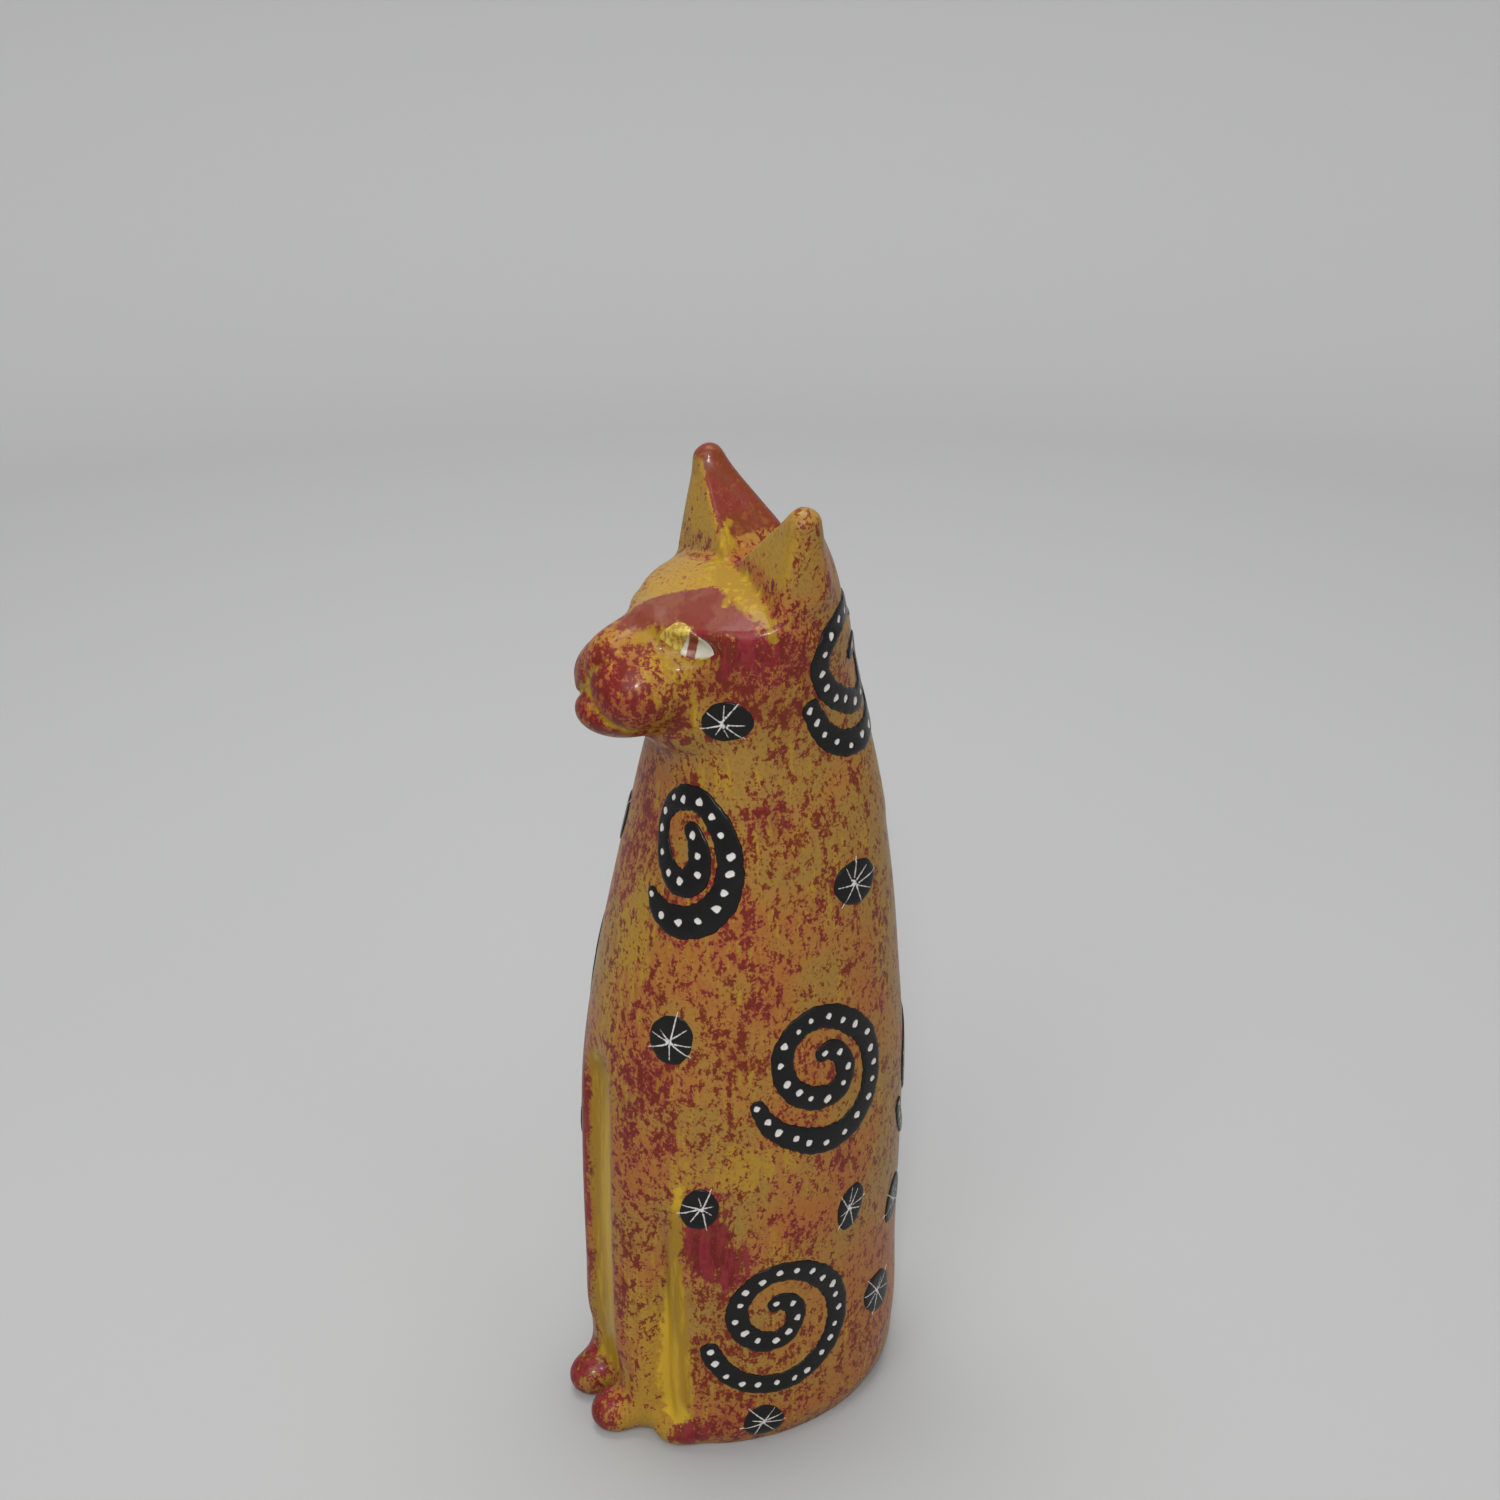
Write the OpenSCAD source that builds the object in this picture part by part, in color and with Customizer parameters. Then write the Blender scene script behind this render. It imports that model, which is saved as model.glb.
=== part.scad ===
// Seated cat figure carved from one block of soapstone, dyed, and decorated with raised
// black enamel spirals and star discs. The figure stands on z = 0, faces -Y, and the
// origin is at the middle of its footprint. Angles are measured around +Z from the
// front (-Y) towards the cat's left side (+X).

/* [Figure] */
// Height of the whole figure, table to ear tips
figure_h = 150; // [90:5:240]
// Depth of the groove between the two front legs
leg_groove = 2.4; // [0.5:0.1:3]
// Depth of the groove between a front leg and the haunch
haunch_groove = 2.2; // [0.5:0.1:3]
// How far the tail lies sunk into the flank
tail_sink = 2.2; // [1.8:0.1:2.8]

/* [Head] */
// Height of the bottom of the notch between the ears, at its front end
crown_h = 137; // [136:0.5:138]
// How far the nose lump is set forward of the figure's axis
muzzle_reach = 11.2; // [9:0.1:13]
// Height of the middle of the nose lump
muzzle_z = 124.4; // [123:0.1:126]
// Half the distance between the two ear tips
ear_spread = 15; // [13:0.5:16]

/* [Enamel motifs] */
// Thickness of the enamel
enamel_t = 0.3; // [0.2:0.05:0.6]
// Gap left between the enamel and the stone under it
enamel_gap = 0.03; // [0.01:0.01:0.08]
// Width of the painted spiral band at its widest
band_w = 4.2; // [2:0.1:4.6]
// Diameter of a star disc
star_d = 7; // [4:0.5:9]
// Length of a painted eye
eye_l = 7.6; // [5:0.2:9]
// Height of a painted eye
eye_h = 4.2; // [2:0.2:5]

/* [Hidden] */

design_h = 150;                 // height that all the sizes below are given for
size = figure_h/design_h;

// The block's outline at several heights: [height, half width, front depth, back depth]
outline = [
    [0, 17.8, 20.5, 23.4],
    [3, 19.2, 22.5, 25.4],
    [9, 19.8, 23.2, 26.4],
    [25, 20.0, 23.6, 26.9],
    [45, 20.6, 23.4, 27.0],
    [60, 20.0, 22.6, 26.7],
    [75, 18.8, 20.0, 25.3],
    [90, 17.4, 15.8, 23.3],
    [104, 15.8, 11.6, 20.9],
    [116, 14.3, 9.6, 18.6],
    [124, 15.2, 9.6, 16.4],
    [132, 16.2, 9.6, 14.2],
    [140, 16.6, 9.6, 11.2]
];
body_square = 2.15;             // 2 is an ellipse, more is squarer

brow_front = 14.4;              // how far the forehead reaches forward
face_slope = 33.5;              // angle of the two face planes from straight sideways
face_reach = 14;                // distance of the face planes from the axis
brow_fall = 0.24;               // fall of the forehead towards the nose, per millimetre
nape_fall = 0.36;               // fall of the crown towards the back, per millimetre
crown_curve = 0.0133;           // crossways curve of the crown
crown_least = 0.0008;
jaw_z = 119.5;                  // height where the jaw starts to turn under
jaw_h = 5;                      // height over which it turns under
muzzle = [9.2, 11.2, 7.2];      // half sizes of the nose lump
chin_reach = 12.4;
chin_z = 119.8;
chin = [6.6, 9.0, 4.3];         // half sizes of the chin lump

leg_groove_top = 64;
leg_groove_half = 7.5;          // half width of the front groove, in degrees
haunch_groove_top = 44;
haunch_groove_at = 34;          // angle of the haunch grooves from the front
haunch_groove_half = 6;
front_paw_at = 12;              // angle of a front paw from the front
front_paw = [4.5, 5.2, 4.8];
hind_paw_at = 40;
hind_paw = [5.2, 6.5, 5.2];

// ---------- smooth shape functions ----------

function clamp(x, low, high) = min(max(x, low), high);

function soft_max(p, q, k) =
    let (h = clamp(0.5 + 0.5*(p - q)/k, 0, 1)) p*h + q*(1 - h) + k*h*(1 - h);

function soft_min(p, q, k) = -soft_max(-p, -q, k);

// 1 below the height top, 0 above it, turning over about k millimetres
function below(z, top, k) = 1/(1 + exp((z - top)/k));

// Radius of an oval with half width w and half depth d, at angle a
function oval(a, w, d, square) =
    pow(pow(abs(sin(a))/w, square) + pow(abs(cos(a))/d, square), -1/square);

// Radius at which the ray at angle a and height z leaves an ellipsoid that is centred
// at angle at, reach from the axis and at height rise; 0 where the ray misses it
function lump(a, z, at, reach, rise, half) =
    let (
        ca = cos(a - at),
        sa = sin(a - at),
        qa = pow(sa/half.x, 2) + pow(ca/half.y, 2),
        qb = -2*ca*reach/pow(half.y, 2),
        qc = pow(reach/half.y, 2) - 1 + pow((z - rise)/half.z, 2),
        disc = qb*qb - 4*qa*qc
    )
    (disc > 0 && ca > 0) ? (-qb + sqrt(disc))/(2*qa) : 0;

// Slope of the outline table at row i
function row_slope(i) =
    let (lo = max(i - 1, 0), hi = min(i + 1, len(outline) - 1))
    (outline[hi] - outline[lo])/(outline[hi][0] - outline[lo][0]);

// The outline row at height z, on a smooth curve through the table
function outline_at(z) =
    let (
        i = min(max([for (j = [0:len(outline) - 1]) z >= outline[j][0] ? j : 0]),
                len(outline) - 2),
        gap = outline[i + 1][0] - outline[i][0],
        t = (z - outline[i][0])/gap
    )
    outline[i]*(2*t*t*t - 3*t*t + 1) + row_slope(i)*gap*(t*t*t - 2*t*t + t)
        + outline[i + 1]*(3*t*t - 2*t*t*t) + row_slope(i + 1)*gap*(t*t*t - t*t);

// Radius of the crown surface that closes the block between the ears
function crown_radius(a, z) =
    let (
        fall = cos(a) > 0 ? brow_fall*cos(a) : -nape_fall*cos(a),
        curve = crown_curve*pow(sin(a), 2) + crown_least
    )
    (-fall + sqrt(fall*fall + 4*curve*max(crown_h - z, 0)))/(2*curve);

// Skull with its two slanting face planes, brow, jaw, nose lump and chin
function head_radius(a, z, row) =
    let (
        skull = oval(a, row[1], cos(a) > 0 ? brow_front : row[3], 2),
        plane = face_reach/max(cos(face_slope)*abs(sin(a)) + sin(face_slope)*cos(a), 0.02),
        domed = soft_min(soft_min(skull, plane, 2), crown_radius(a, z), 2.6),
        under = clamp((jaw_z - z)/jaw_h, 0, 1),
        nose = lump(a, z, 0, muzzle_reach, muzzle_z, muzzle),
        jaw = lump(a, z, 0, chin_reach, chin_z, chin)
    )
    soft_max(domed*sqrt(1 - under*under), soft_max(nose, jaw, 1.2), 2);

// Depth of the grooves that part the legs
function groove(a, z) =
    leg_groove*exp(-pow(a/leg_groove_half, 4))*below(z, leg_groove_top, 1.6)
    + haunch_groove*exp(-pow((abs(a) - haunch_groove_at)/haunch_groove_half, 2))
        *below(z, haunch_groove_top, 3);

function paws(a, z) =
    let (b = abs(a))
    soft_max(lump(b, z, front_paw_at, 22.2, 3.6, front_paw),
             lump(b, z, hind_paw_at, 15.5, 3.2, hind_paw), 0.5);

// Radius of the whole figure below the ears; turn is any angle
function skin(turn, z) =
    let (
        a = turn > 180 ? turn - 360 : turn < -180 ? turn + 360 : turn,
        row = outline_at(z),
        block = oval(a, row[1], cos(a) > 0 ? row[2] : row[3], body_square),
        body = soft_min(block, crown_radius(a, z), 1.5),
        whole = soft_max(body, head_radius(a, z, row), 1.5)
    )
    max(soft_max(whole - groove(a, z), paws(a, z), 1), 0.05);

// The point that stands h outside the skin
function on_skin(a, z, h) =
    let (r = skin(a, z) + h) [r*sin(a), -r*cos(a), z];

// ---------- stone ----------

stone_angles = concat([for (a = [-52:3.25:52]) a], [for (a = [58:6:302]) a]);
stone_heights = concat(
    [0, 0.8, 1.8, 3, 4.5, 6, 7.5, 9.5], [for (z = [12:4:40]) z], [42, 44, 46, 49, 53, 57, 60, 62, 64, 66],
    [for (z = [70:5:105]) z], [for (z = [108:2:112]) z], [for (z = [113:1:124]) z],
    [for (z = [125.5:1.5:131.5]) z], [132.5, 133.3, 134, 134.7, 135.3, 135.9, 136.4, 136.8]
);

// The lofted block: head, body and legs in one surface
module block() {
    levels = stone_heights;
    n = len(stone_angles);
    rings = len(levels);
    points = concat(
        [for (z = levels) for (a = stone_angles) on_skin(a, z, 0)],
        [[0, 0, 0], [0, 0, levels[rings - 1]]]
    );
    sides = [
        for (i = [0:rings - 2]) for (j = [0:n - 1])
            let (k = (j + 1)%n, low = i*n, high = low + n)
            each [[low + j, high + j, high + k], [low + j, high + k, low + k]]
    ];
    base = [for (j = [0:n - 1]) [rings*n, j, (j + 1)%n]];
    top_start = (rings - 1)*n;
    top = [for (j = [0:n - 1]) [rings*n + 1, top_start + (j + 1)%n, top_start + j]];
    polyhedron(points, concat(sides, base, top), convexity = 8);
}

module ball(at, r) {
    translate(at) sphere(r, $fn = 20);
}

// One upright ear: flat in front, sloping towards the notch, round behind, and rooted
// in the back half of the skull
module ear() {
    tip_r = 1.7;
    root_z = 127;
    root_r = 2;
    hull() {
        ball([ear_spread, 3.8, design_h - tip_r], tip_r);
        ball([ear_spread - 2.6, 8, 142], 1.4);
        ball([ear_spread - 5, 10.2, 137.5], 1.4);
        ball([15.2, 4.5, 140], 1.5);
        ball([15.2, -1.6, 133.5], 1);
        ball([1, -1, 136], 1);
        ball([0.6, 9.5, 132.2], 1);
        ball([13.2, 3, root_z], root_r);
        ball([8.3, 10.6, root_z], root_r);
        ball([3, 12.6, root_z], root_r);
    }
}

// The tail, carved in low relief from the back round the cat's right side
module tail() {
    start = -172;
    step = 12;
    joints = 10;
    function tail_z(i) = 6.6 - 0.28*i;
    function tail_r(i) = 3.7 - 0.13*i;
    for (i = [0:joints - 2])
        hull() {
            ball(on_skin(start + i*step, tail_z(i), -tail_sink), tail_r(i));
            ball(on_skin(start + (i + 1)*step, tail_z(i + 1), -tail_sink), tail_r(i + 1));
        }
}

module stone_figure() {
    color([0.75, 0.5, 0.2])
        scale(size) {
            block();
            ear();
            mirror([1, 0, 0]) ear();
            tail();
        }
}

// ---------- thin painted pieces that follow the skin ----------

// A film on the skin around angle a0 and height z0. grid[k][s] is a place [u, v] in
// millimetres along and up the surface, with s counted to the left of the way k runs.
module film(a0, z0, grid) {
    along = norm(on_skin(a0 + 1, z0, 0) - on_skin(a0 - 1, z0, 0))/2;
    up = norm(on_skin(a0, z0 + 1, 0) - on_skin(a0, z0 - 1, 0))/2;
    rows = len(grid);
    n = len(grid[0]);
    function place(uv, h) = on_skin(a0 + uv.x/along, z0 + uv.y/up, h);
    points = concat(
        [for (row = grid) for (uv = row) place(uv, enamel_gap)],
        [for (row = grid) for (uv = row) place(uv, enamel_gap + enamel_t)]
    );
    over = rows*n;              // first point of the outer face
    cells = [for (k = [0:rows - 2]) for (s = [0:n - 2]) k*n + s];
    outer = [for (c = cells) each [
        [over + c, over + c + 1, over + c + n + 1], [over + c, over + c + n + 1, over + c + n]
    ]];
    inner = [for (c = cells) each [[c, c + n + 1, c + 1], [c, c + n, c + n + 1]]];
    rim = concat(
        [for (k = [0:rows - 2]) k*n],
        [for (s = [0:n - 2]) (rows - 1)*n + s],
        [for (k = [rows - 1:-1:1]) k*n + n - 1],
        [for (s = [n - 1:-1:1]) s]
    );
    m = len(rim);
    wall = [for (i = [0:m - 1]) let (p = rim[i], q = rim[(i + 1)%m]) each [
        [p, over + p, over + q], [p, over + q, q]
    ]];
    scale(size) polyhedron(points, concat(outer, inner, wall), convexity = 6);
}

// Half width factor that rounds off the first and last part of a band
function rounded_end(t, part) =
    let (x = clamp(min(t, 1 - t)/part, 0, 1)) max(sqrt(1 - (1 - x)*(1 - x)), 0.12);

// A spiral band that winds outwards clockwise from near its middle to a tail at its
// lower left; wide and tall stretch it sideways and upwards
function spiral_grid(wide, tall) =
    let (
        start = -20,
        sweep = 625,
        steps = 50,
        first_r = 1.6,
        per_degree = 1/60
    )
    [for (k = [0:steps])
        let (
            t = k/steps,
            turn = start + sweep*t,
            r = first_r + max(turn, 0)*per_degree,
            half = band_w/2*(0.7 + 0.3*sin(180*t))*rounded_end(t, 0.045)
        )
        [for (s = [-1:1]) [(r + s*half)*sin(turn)*wide, (r + s*half)*cos(turn)*tall]]
    ];

function disc_grid(d) =
    let (steps = 12)
    [for (k = [0:steps])
        let (turn = -90 + 180*k/steps, half = d/2*max(cos(turn), 0.04))
        [for (s = [-1, -0.5, 0, 0.5, 1]) [d/2*sin(turn), s*half]]
    ];

// Leaf shape with its sharp corners at the two ends
function leaf_grid(l, h) =
    let (steps = 12)
    [for (k = [0:steps])
        let (x = -1 + 2*k/steps, half = h/2*max(1 - x*x, 0.05))
        [for (s = [-1, 0, 1]) [x*l/2, s*half]]
    ];

module spiral(a, z, wide, tall) {
    color([0.05, 0.05, 0.06]) film(a, z, spiral_grid(wide, tall));
}

module star(a, z) {
    color([0.08, 0.08, 0.1]) film(a, z, disc_grid(star_d));
}

module eye(a) {
    color([0.88, 0.85, 0.78]) film(a, 130.2, leaf_grid(eye_l, eye_h));
}

module left_eye() { eye(46); }
module right_eye() { eye(-46); }

module spiral_left_chest() { spiral(41, 100, 0.68, 0.98); }
module spiral_left_flank() { spiral(103, 67, 0.95, 1); }
module spiral_left_haunch() { spiral(81, 26, 0.98, 0.98); }
module spiral_left_nape() { spiral(141, 121, 0.85, 0.8); }
module spiral_back() { spiral(166, 54, 0.85, 0.98); }
module spiral_right_flank() { spiral(-56, 76, 0.85, 0.98); }
module spiral_right_nape() { spiral(-127, 112, 0.9, 0.9); }
module spiral_right_haunch() { spiral(-92, 32, 0.95, 0.95); }

module star_left_cheek() { star(64, 120); }
module star_left_shoulder() { star(127, 93.5); }
module star_left_chest() { star(39, 73.5); }
module star_left_knee() { star(50, 46.5); }
module star_left_hip() { star(118, 40.5); }
module star_left_foot() { star(78, 4.6); }
module star_back_mid() { star(152, 32); }
module star_back_low() { star(141, 17); }
module star_back_high() { star(178, 88); }
module star_right_cheek() { star(-67, 121); }
module star_right_chest() { star(-46, 97); }
module star_right_knee() { star(-25, 48); }
module star_right_shoulder() { star(-98, 92); }
module star_right_hip() { star(-130, 62); }
module star_right_foot() { star(-140, 20); }

stone_figure();
left_eye();
right_eye();
spiral_left_chest();
spiral_left_flank();
spiral_left_haunch();
spiral_left_nape();
spiral_back();
spiral_right_flank();
spiral_right_nape();
spiral_right_haunch();
star_left_cheek();
star_left_shoulder();
star_left_chest();
star_left_knee();
star_left_hip();
star_left_foot();
star_back_mid();
star_back_low();
star_back_high();
star_right_cheek();
star_right_chest();
star_right_knee();
star_right_shoulder();
star_right_hip();
star_right_foot();
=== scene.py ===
"""Blender scene of a seated cat figure, carved from one block of soapstone, dyed, and
decorated with black enamel spirals and star discs. Lengths in the shape code are
millimetres; the meshes are made in metres. The cat faces -Y and +X is its left side."""
import math

import bpy
import numpy as np
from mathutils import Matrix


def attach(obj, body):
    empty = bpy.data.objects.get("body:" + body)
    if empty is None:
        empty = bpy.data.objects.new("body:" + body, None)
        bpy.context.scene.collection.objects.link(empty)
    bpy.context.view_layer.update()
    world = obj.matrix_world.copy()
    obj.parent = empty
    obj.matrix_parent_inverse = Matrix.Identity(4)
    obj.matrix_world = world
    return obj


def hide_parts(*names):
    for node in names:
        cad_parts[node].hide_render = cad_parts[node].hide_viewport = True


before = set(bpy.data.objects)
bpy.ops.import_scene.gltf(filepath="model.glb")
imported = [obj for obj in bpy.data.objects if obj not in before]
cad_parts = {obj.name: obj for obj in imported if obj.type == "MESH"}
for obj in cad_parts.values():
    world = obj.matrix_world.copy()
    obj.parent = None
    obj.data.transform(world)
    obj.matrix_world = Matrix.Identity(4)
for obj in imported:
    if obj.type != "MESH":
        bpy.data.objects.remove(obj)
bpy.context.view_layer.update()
MM = 0.001

# ---- the carved shape

# Outline of the block: height, half width, front depth, back depth, squareness
OUTLINE = np.array([
    (0, 18.0, 20.6, 23.6, 2.15),
    (3, 19.2, 22.5, 25.4, 2.15),
    (9, 19.8, 23.2, 26.4, 2.15),
    (25, 20.0, 23.6, 26.9, 2.0),
    (45, 20.6, 23.4, 27.0, 2.0),
    (60, 20.0, 22.6, 26.7, 2.1),
    (75, 18.8, 20.0, 25.3, 2.2),
    (90, 17.4, 15.8, 23.3, 2.45),
    (104, 15.8, 11.8, 20.9, 2.6),
    (116, 14.3, 9.6, 18.6, 2.3),
    (124, 15.2, 9.6, 16.4, 2.2),
    (132, 16.2, 9.6, 14.4, 2.4),
    (138, 16.5, 9.6, 12.6, 2.4),
    (144, 16.4, 9.6, 10.3, 2.2),
    (152, 16.0, 9.6, 7.6, 2.2),
])
# The face is cut by two slanting planes; the cat's right one lies further in
BROW_FRONT = 13.1
FACE_SLOPE = math.radians(33.5)
FACE_REACH = 14.0
FAR_CHEEK_IN = 1.6
# The crown falls away to the brow and to the nape, and a little to the sides
CROWN_Z = 137.0
CROWN_Y = -1.0
BROW_FALL = 0.37
NAPE_FALL = 0.38
CROWN_CURVE = 0.0133
# Each ear is what two planes leave standing: which way they face, and a point on each
EAR_FRONT = np.array((0.0, -0.981, 0.196))
EAR_INNER = np.array((-0.654, 0.231, 0.720))
EAR_FOOT = np.array((0.0, -0.3, CROWN_Z))
CROWN_POINT = np.array((0.0, CROWN_Y, CROWN_Z))
EAR_TOP = 148.6
LEFT_EAR_DOWN = 1.3
# Lumps added to the block: centre and half sizes; those off the middle are on both sides
MUZZLE = ((0, -11.3, 124.4), (8.8, 9.8, 7.0))
PAD = ((4.2, -15.4, 123.0), (4.8, 5.6, 4.6))
CHIN = ((0, -15.0, 119.9), (6.0, 7.7, 4.3))
EYE_SOCKET = ((11.6, -14.0, 130.0), (5.4, 6.6, 2.9))
# Rods added to the block: start, end, and radius at each
BRIDGE = ((0, -11.0, 129.4), (0, -16.9, 127.0), 4.2, 3.8)
EAR_RIDGE = ((14.2, 3.7, 148.0), (7.0, 9.0, 138.9), 1.6, 1.9)
# Paws: centre, half sizes, and how softly each joins the leg
PAWS = [
    ((4.5, -22.0, 2.7), (3.7, 4.5, 3.6), 2.6),
    ((11.1, -14.1, 2.8), (4.2, 4.8, 3.7), 1.7),
]
# Grooves between the legs: depth, height of the top, and half width or turn from the front
FRONT_GROOVE_DEPTH, FRONT_GROOVE_TOP, FRONT_GROOVE_HALF = 2.5, 64, 4.2
SIDE_GROOVE_DEPTH, SIDE_GROOVE_TOP, SIDE_GROOVE_TURN = 2.4, 43, 34.5
# The tail: how far round it reaches, from its root to its tip (degrees)
TAIL_ROOT, TAIL_TIP = -186, -62


def soft_max(p, q, k):
    h = np.clip(0.5 + 0.5 * (p - q) / k, 0, 1)
    return p * h + q * (1 - h) + k * h * (1 - h)


def soft_min(p, q, k):
    return -soft_max(-p, -q, k)


def below(z, top, k):
    """1 under the height top and 0 over it, turning over about k."""
    return 1 / (1 + np.exp(np.clip((z - top) / k, -40, 40)))


def outline_at(z):
    """Half width, front depth, back depth and squareness of the block at height z."""
    heights = OUTLINE[:, 0]
    slopes = np.gradient(OUTLINE, heights, axis=0)
    z = np.clip(z, heights[0], heights[-1])
    i = np.clip(np.searchsorted(heights, z, side="right") - 1, 0, len(heights) - 2)
    gap = (heights[i + 1] - heights[i])
    t = (z - heights[i]) / gap
    parts = []
    for column in range(1, 5):
        low, high = OUTLINE[i, column], OUTLINE[i + 1, column]
        low_slope, high_slope = slopes[i, column] * gap, slopes[i + 1, column] * gap
        parts.append(
            low * (2 * t**3 - 3 * t**2 + 1) + low_slope * (t**3 - 2 * t**2 + t)
            + high * (3 * t**2 - 2 * t**3) + high_slope * (t**3 - t**2)
        )
    return parts


def ring(x, y, width, depth, square):
    """How far a point lies outside an oval ring, measured along its radius."""
    r = np.hypot(x, y) + 1e-3
    scale = ((np.abs(x) / width) ** square + (np.abs(y) / depth) ** square) ** (1 / square)
    return r - r / np.maximum(scale, 1e-4)


def lump(x, y, z, centre, half):
    """Distance outside an ellipsoid, near enough."""
    px, py, pz = (x - centre[0]) / half[0], (y - centre[1]) / half[1], (z - centre[2]) / half[2]
    k0 = np.sqrt(px**2 + py**2 + pz**2) + 1e-9
    k1 = np.sqrt((px / half[0])**2 + (py / half[1])**2 + (pz / half[2])**2) + 1e-9
    return k0 * (k0 - 1) / k1


def rod(x, y, z, start, end, r0, r1):
    """Distance outside a round rod that tapers from r0 to r1."""
    start, end = np.array(start, float), np.array(end, float)
    d = end - start
    t = ((x - start[0]) * d[0] + (y - start[1]) * d[1] + (z - start[2]) * d[2]) / (d @ d)
    t = np.clip(t, 0, 1)
    away = np.sqrt((x - start[0] - t * d[0])**2 + (y - start[1] - t * d[1])**2
                   + (z - start[2] - t * d[2])**2)
    return away - r0 - (r1 - r0) * t


# Grooves of the nose and mouth, seen from the front: start, end, depth
MOUTH_LINES = [
    ((0, 124.2), (2.9, 128.0), 0.30),
    ((0, 124.2), (2.4, 121.9), 0.45),
    ((2.4, 121.9), (4.6, 120.2), 0.45),
    ((4.6, 120.2), (6.4, 118.4), 0.30),
]


def mouth_distance(ax, z, start, end):
    return rod(ax, np.zeros_like(z), z, (start[0], 0, start[1]), (end[0], 0, end[1]), 0, 0)


def legs_and_paws(x, y, z, whole):
    """Cuts the grooves between the legs and adds the paws."""
    a = np.abs(np.degrees(np.arctan2(x, -y)))
    ax = np.abs(x)
    front = np.exp(-(x / FRONT_GROOVE_HALF)**4) * (y < 0)
    front = front * below(z, FRONT_GROOVE_TOP - 0.25 * x**2, 1.3)
    middle = SIDE_GROOVE_TURN + 1.5 * below(z, 10, 3)
    # the side groove is steep towards the haunch and shallow towards the leg
    leg_side, haunch_side = np.maximum(middle - a, 0), np.maximum(a - middle, 0)
    side = np.exp(-leg_side**2 / 7.5**2 - haunch_side**2 / 4.2**2)
    side = side * below(z, SIDE_GROOVE_TOP, 2.6) * (0.55 + 0.45 * below(z, 30, 9))
    whole = whole + FRONT_GROOVE_DEPTH * front + SIDE_GROOVE_DEPTH * side
    ankle = np.exp(-((a - 15) / 8.0)**2 - ((z - 10.5) / 4.0)**2)
    whole = whole + 0.7 * ankle
    for centre, half, k in PAWS:
        whole = soft_min(whole, lump(ax, y, z, centre, half), k)
    return whole


def tail(x, y, z):
    """The tail, lying round the cat's right side from the middle of its back."""
    a = np.degrees(np.arctan2(x, -y))
    turn = np.where(a > 90, a - 360, a)          # -180 at the back, rising to the front
    along = np.clip((turn - TAIL_ROOT) / (TAIL_TIP - TAIL_ROOT), 0, 1)
    height = 7.2 - 2.4 * along
    radius = 3.7 - 1.2 * along
    width, front, back, square = outline_at(np.full_like(z, 6.0))
    inward = ring(x, y, width, np.where(y < 0, front, back), square) + 2.35
    middle, half = (TAIL_ROOT + TAIL_TIP) / 2, (TAIL_TIP - TAIL_ROOT) / 2
    outside = np.clip(np.abs(turn - middle) - half, 0, None) * 0.35
    return np.sqrt(inward**2 + (z - height)**2 + outside**2) - radius


def head(x, y, z, width, back, square):
    """The skull with its snout, and the plane field of the crown that cuts the block too."""
    ax = np.abs(x)
    skull = ring(x, y, width, np.where(y < 0, BROW_FRONT, back), np.where(y < 0, 2.0, square))
    face = math.cos(FACE_SLOPE) * ax - math.sin(FACE_SLOPE) * y - FACE_REACH
    face = face + FAR_CHEEK_IN * below(x, -3.0, 1.2)
    fall = np.where(y < CROWN_Y, BROW_FALL * (CROWN_Y - y), NAPE_FALL * (y - CROWN_Y))
    crown = (z - CROWN_Z + fall + CROWN_CURVE * x**2) * 0.95
    under = (113.3 + 0.525 * (-12 - y) + 0.048 * x**2 - z) * 0.85
    skull = soft_max(soft_max(skull, face, 1.6), crown, 0.6)
    skull = soft_max(skull, under, 2.2)
    upper = soft_min(lump(x, y, z, *MUZZLE), rod(x, y, z, *BRIDGE), 1.8)
    lower = soft_min(lump(ax, y, z, *PAD), lump(x, y, z, *CHIN), 2.2)
    snout = soft_min(upper, lower, 2.4)
    return soft_min(skull, snout, 2.2), crown


def ears(x, y, z, width, back, square):
    """Both ears: the block between two planes, with a rounded tip and back edge."""
    ax = np.abs(x)
    side = ring(x, y, width, np.where(y < 0, 9.6, back), square)
    front = EAR_FRONT[0] * ax + EAR_FRONT[1] * y + EAR_FRONT[2] * z - EAR_FRONT @ EAR_FOOT
    inner = EAR_INNER[0] * ax + EAR_INNER[1] * y + EAR_INNER[2] * z - EAR_INNER @ CROWN_POINT
    ear = soft_max(soft_max(front, inner, 0.8), side, 1.5)
    down = LEFT_EAR_DOWN * below(-x, -3.0, 1.0)
    tip_radius = np.where(x > 0, 2.0, 1.5)
    tip = rod(ax, y, z + down, (12.6, 4.3, 139.0), (14.2, 3.8, 147.9), 3.8, tip_radius)
    blade = soft_min(tip, rod(ax, y, z + down, *EAR_RIDGE), 1.8)
    ear = soft_max(ear, z + down - EAR_TOP, 1.2)
    return soft_min(ear, blade, 1.2)


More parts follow.
